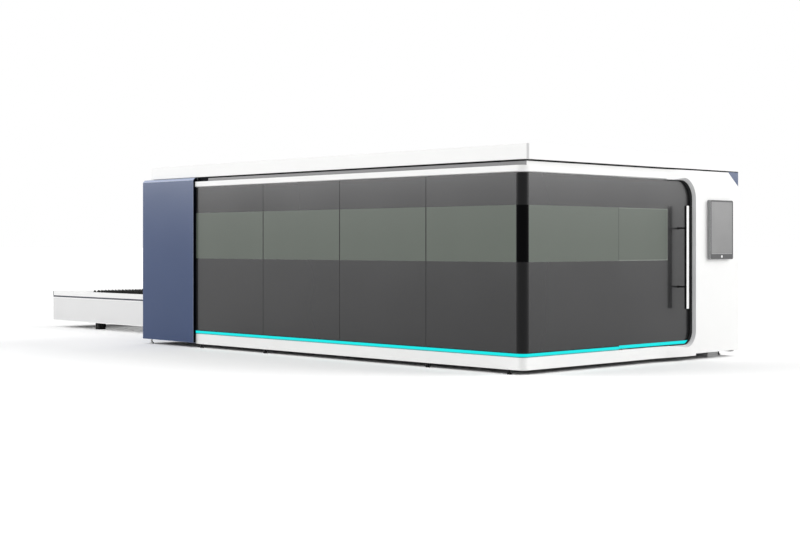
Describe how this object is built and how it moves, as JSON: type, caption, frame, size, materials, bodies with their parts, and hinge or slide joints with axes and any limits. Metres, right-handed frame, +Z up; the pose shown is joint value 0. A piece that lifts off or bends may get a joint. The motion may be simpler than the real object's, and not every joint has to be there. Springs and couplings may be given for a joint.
{
  "type": "fiber laser cutting machine",
  "caption": "Enclosed sheet-metal laser cutter: long cabinet with window band, sliding end door, inner gantry and head, and a shuttle table of two slatted pallets.",
  "frame": {"origin": "on the floor, under the middle of the whole machine's plan", "axes": "+X along the machine towards the end with the sliding door, +Y from the side with the window band to the far side, +Z up"},
  "size_m": [10.504, 3.691, 2.215],
  "materials": {
    "white_paint": "semi-gloss powder coat",
    "white_panel": "semi-gloss powder coat",
    "grey_panel": "satin powder coat",
    "black_panel": "satin powder coat",
    "blue_paint": "satin powder coat",
    "light_grey": "satin powder coat",
    "frame_steel": "satin paint",
    "steel": "ground steel",
    "dark_steel": "blackened steel",
    "cast": "painted cast iron",
    "laser_glass": "greenish-grey laser safety glass",
    "light": "glowing diffuser",
    "screen": "dark glass",
    "console_grey": "satin paint",
    "button_white": "gloss",
    "handle_white": "satin paint",
    "head_metal": "anodised",
    "pad_black": "matt"
  },
  "bodies": {
    "machine": {"base_skirt": "white_paint", "levelling_feet": "dark_steel", "side_panel_1": "grey_panel", "side_panel_2": "grey_panel", "side_panel_3": "grey_panel", "side_panel_4": "grey_panel", "fixed_windows": "laser_glass", "corner_post": "black_panel", "end_panel": "grey_panel", "top_rail": "white_paint", "roof_neck": "white_paint", "roof_cap": "white_paint", "light_strip": "light", "end_frame": "white_paint", "accent_panel": "blue_paint", "hall_posts": "frame_steel", "door_track": "frame_steel", "console_housing": "console_grey", "console_screen": "screen", "portal_cheeks": "blue_paint", "portal_front": "blue_paint", "gate_guides": "frame_steel", "far_panels": "white_panel", "extraction_collar": "steel", "electrical_cabinet": "light_grey", "laser_source": "light_grey", "bed_near_beam": "frame_steel", "bed_far_beam": "frame_steel", "bed_cross_members": "frame_steel", "guide_rails": "steel", "pallet_tracks": "frame_steel", "transfer_chains": "dark_steel", "drive_gearmotor": "cast", "table_side_beams": "white_paint", "table_covers": "light_grey", "table_deck": "white_paint", "table_feet": "pad_black"},
    "door": {"end_door": "grey_panel", "door_window": "laser_glass", "door_handle": "handle_white", "door_light_strip": "light"},
    "button": {"console_button": "button_white"},
    "gate": {"entrance_gate": "light_grey"},
    "left_cabinet_door": {"cabinet_door_left": "white_panel"},
    "right_cabinet_door": {"cabinet_door_right": "white_panel"},
    "gantry": {"gantry_beam": "cast", "gantry_saddles": "cast"},
    "carriage": {"head_carriage": "light_grey"},
    "head": {"z_slide": "steel", "cutting_head": "head_metal"},
    "upper_pallet": {"upper_pallet_frame": "frame_steel", "upper_pallet_slats": "dark_steel"},
    "lower_pallet": {"lower_pallet_frame": "frame_steel", "lower_pallet_slats": "dark_steel"},
    "upper_outer_wheels": {"upper_wheelset_outer": "steel"},
    "upper_inner_wheels": {"upper_wheelset_inner": "steel"},
    "lower_outer_wheels": {"lower_wheelset_outer": "steel"},
    "lower_inner_wheels": {"lower_wheelset_inner": "steel"},
    "drive": {"drive_shaft": "steel"},
    "idler": {"idler_shaft": "steel"}
  },
  "joints": [
    {"name": "door_slide", "type": "slide", "parent": "machine", "child": "door", "axis": [0, -1, 0], "range_m": [0, 1]},
    {"name": "button_press", "type": "slide", "parent": "machine", "child": "button", "axis": [-1, 0, 0], "range_m": [0, 0.003], "stiffness_N_per_m": 800},
    {"name": "gate_lift", "type": "slide", "parent": "machine", "child": "gate", "axis": [0, 0, 1], "range_m": [-0.7, 0]},
    {"name": "left_cabinet_door_hinge", "type": "hinge", "parent": "machine", "child": "left_cabinet_door", "pos_m": [3.8385, 1.8155, 1], "axis": [0, 0, 1], "range_deg": [0, 110]},
    {"name": "right_cabinet_door_hinge", "type": "hinge", "parent": "machine", "child": "right_cabinet_door", "pos_m": [5.1285, 1.8155, 1], "axis": [0, 0, -1], "range_deg": [0, 110]},
    {"name": "gantry_slide", "type": "slide", "parent": "machine", "child": "gantry", "axis": [-1, 0, 0], "range_m": [0, 3.05]},
    {"name": "carriage_slide", "type": "slide", "parent": "gantry", "child": "carriage", "axis": [0, 1, 0], "range_m": [0, 1.5]},
    {"name": "head_slide", "type": "slide", "parent": "carriage", "child": "head", "axis": [0, 0, 1], "range_m": [-0.29, 0]},
    {"name": "pallet_exchange", "type": "slide", "parent": "machine", "child": "upper_pallet", "axis": [1, 0, 0], "range_m": [0, 4.3]},
    {"name": "lower_pallet_exchange", "type": "slide", "parent": "machine", "child": "lower_pallet", "axis": [1, 0, 0], "range_m": [-4.3, 0]},
    {"name": "upper_outer_wheels_roll", "type": "hinge", "parent": "upper_pallet", "child": "upper_outer_wheels", "pos_m": [-4.017, 0.1925, 0.436], "axis": [0, 1, 0], "range_deg": [-5, 6849]},
    {"name": "upper_inner_wheels_roll", "type": "hinge", "parent": "upper_pallet", "child": "upper_inner_wheels", "pos_m": [-1.717, 0.1925, 0.436], "axis": [0, 1, 0], "range_deg": [-5, 6849]},
    {"name": "lower_outer_wheels_roll", "type": "hinge", "parent": "lower_pallet", "child": "lower_outer_wheels", "pos_m": [0.283, 0.1925, 0.236], "axis": [0, 1, 0], "range_deg": [-6849, 5]},
    {"name": "lower_inner_wheels_roll", "type": "hinge", "parent": "lower_pallet", "child": "lower_inner_wheels", "pos_m": [2.583, 0.1925, 0.236], "axis": [0, 1, 0], "range_deg": [-6849, 5]},
    {"name": "drive_turn", "type": "hinge", "parent": "machine", "child": "drive", "pos_m": [-4.807, 0.1925, 0.28281], "axis": [0, 1, 0], "range_deg": [-5, 2336]},
    {"name": "idler_turn", "type": "hinge", "parent": "machine", "child": "idler", "pos_m": [3.393, 0.1925, 0.28281], "axis": [0, 1, 0], "range_deg": [-5, 2336]}
  ],
  "couplings": [
    {"joint": "lower_pallet_exchange", "follows": "pallet_exchange", "ratio": -1},
    {"joint": "upper_outer_wheels_roll", "follows": "pallet_exchange", "rad_per_m": 27.778},
    {"joint": "upper_inner_wheels_roll", "follows": "pallet_exchange", "rad_per_m": 27.778},
    {"joint": "lower_outer_wheels_roll", "follows": "pallet_exchange", "rad_per_m": -27.778},
    {"joint": "lower_inner_wheels_roll", "follows": "pallet_exchange", "rad_per_m": -27.778},
    {"joint": "drive_turn", "follows": "pallet_exchange", "rad_per_m": 9.4607},
    {"joint": "idler_turn", "follows": "pallet_exchange", "rad_per_m": 9.4607}
  ]
}
